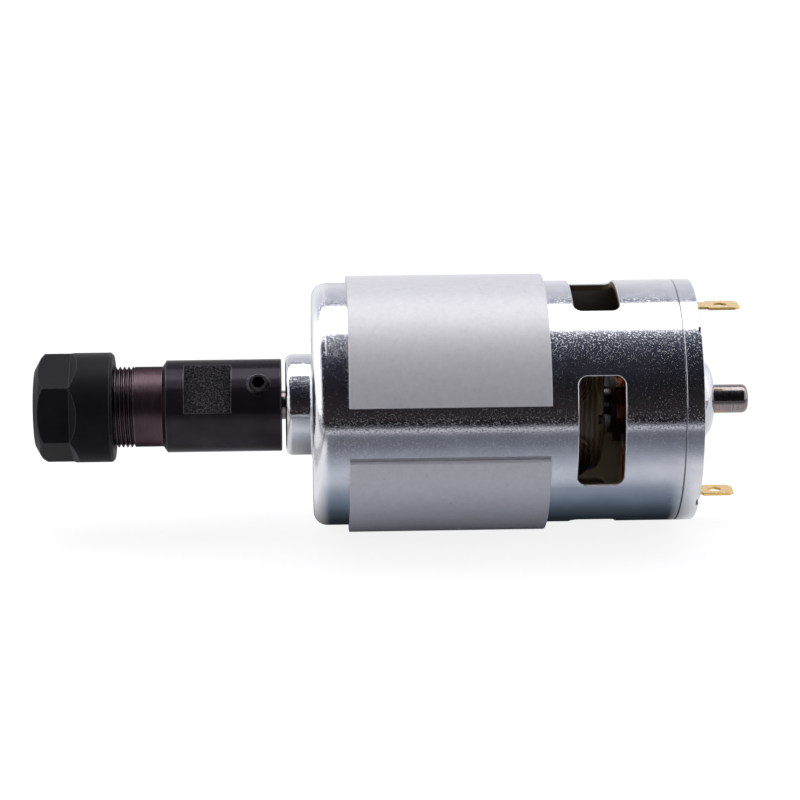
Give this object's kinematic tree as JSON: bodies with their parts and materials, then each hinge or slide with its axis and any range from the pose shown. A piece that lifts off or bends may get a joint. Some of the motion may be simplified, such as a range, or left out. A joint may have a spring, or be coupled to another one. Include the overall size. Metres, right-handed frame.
{
  "type": "motor spindle",
  "caption": "Brushed can motor with a split flux ring, mounting face and pilot boss, and a collet holder with a hexagon clamping nut on its shaft.",
  "frame": {"origin": "centre of the can's front mounting face, on the spindle axis", "axes": "+X along the spindle axis from the tool end to the terminals; the flux ring's gap faces -Y; the terminals lie at +Z and -Z"},
  "size_m": [0.1238, 0.0441, 0.0446],
  "materials": {
    "bright_zinc": "bright zinc plate on drawn steel, slight orange peel",
    "matt_zinc": "matt zinc plate on rolled strip",
    "ferrite": "sintered ferrite, dull",
    "spring_steel": "hardened and ground spring steel",
    "bearing_steel": "ground steel",
    "moulded_black": "moulded phenolic, satin",
    "nylon": "moulded nylon, satin",
    "brass": "stamped brass, satin",
    "carbon": "pressed carbon, dull",
    "core_steel": "stacked electrical steel plates",
    "fibre": "varnished fibre plate",
    "enamelled_copper": "enamelled copper wire",
    "copper": "drawn copper, worn by the brushes",
    "black_oxide": "black oxide on turned steel, oiled"
  },
  "bodies": {
    "motor_body": {"motor_can": "bright_zinc", "flux_ring": "matt_zinc", "magnet_near": "ferrite", "magnet_far": "ferrite", "magnet_clip_top": "spring_steel", "magnet_clip_bottom": "spring_steel", "end_cover": "bright_zinc", "brush_card": "moulded_black", "front_outer_race": "bearing_steel", "front_shields": "bright_zinc", "rear_outer_race": "bearing_steel", "rear_shields": "bright_zinc", "brush_holder_top": "brass", "brush_holder_bottom": "brass", "brush_spring_top": "spring_steel", "brush_spring_bottom": "spring_steel", "terminal_top": "brass", "terminal_bottom": "brass"},
    "rotor": {"shaft": "bearing_steel", "front_inner_race": "bearing_steel", "rear_inner_race": "bearing_steel", "front_spacer": "nylon", "rear_spacer": "nylon", "cooling_fan": "nylon", "armature_core": "core_steel", "end_insulators": "fibre", "windings": "enamelled_copper", "commutator_hub": "moulded_black", "commutator_segments": "copper", "collet_holder": "black_oxide", "set_screw_near": "black_oxide", "set_screw_far": "black_oxide"},
    "front_ball_set": {"front_cage": "nylon", "front_balls": "bearing_steel"},
    "rear_ball_set": {"rear_cage": "nylon", "rear_balls": "bearing_steel"},
    "upper_brush": {"brush_top": "carbon"},
    "lower_brush": {"brush_bottom": "carbon"},
    "collet": {"collet": "spring_steel"},
    "nut": {"collet_nut": "black_oxide"}
  },
  "joints": [
    {"name": "rotor_spin", "type": "hinge", "parent": "motor_body", "child": "rotor", "pos_m": [0, 0, 0], "axis": [1, 0, 0], "continuous": true},
    {"name": "front_cage_spin", "type": "hinge", "parent": "motor_body", "child": "front_ball_set", "pos_m": [0, 0, 0], "axis": [1, 0, 0], "continuous": true},
    {"name": "rear_cage_spin", "type": "hinge", "parent": "motor_body", "child": "rear_ball_set", "pos_m": [0, 0, 0], "axis": [1, 0, 0], "continuous": true},
    {"name": "upper_brush_slide", "type": "slide", "parent": "motor_body", "child": "upper_brush", "axis": [0, 0, 1], "range_m": [0, 0.0015], "stiffness_N_per_m": 300, "springref_m": -0.002, "deforming": ["brush_spring_top"]},
    {"name": "lower_brush_slide", "type": "slide", "parent": "motor_body", "child": "lower_brush", "axis": [0, 0, -1], "range_m": [0, 0.0015], "stiffness_N_per_m": 300, "springref_m": -0.002, "deforming": ["brush_spring_bottom"]},
    {"name": "collet_slide", "type": "slide", "parent": "rotor", "child": "collet", "axis": [-1, 0, 0], "range_m": [0, 0.00525]},
    {"name": "nut_turn", "type": "hinge", "parent": "collet", "child": "nut", "pos_m": [0, 0, 0], "axis": [-1, 0, 0], "range_deg": [0, 2520]}
  ],
  "couplings": [
    {"joint": "front_cage_spin", "follows": "rotor_spin", "ratio": 0.35714},
    {"joint": "rear_cage_spin", "follows": "rotor_spin", "ratio": 0.37222},
    {"joint": "nut_turn", "follows": "collet_slide", "rad_per_m": 8377.6}
  ]
}
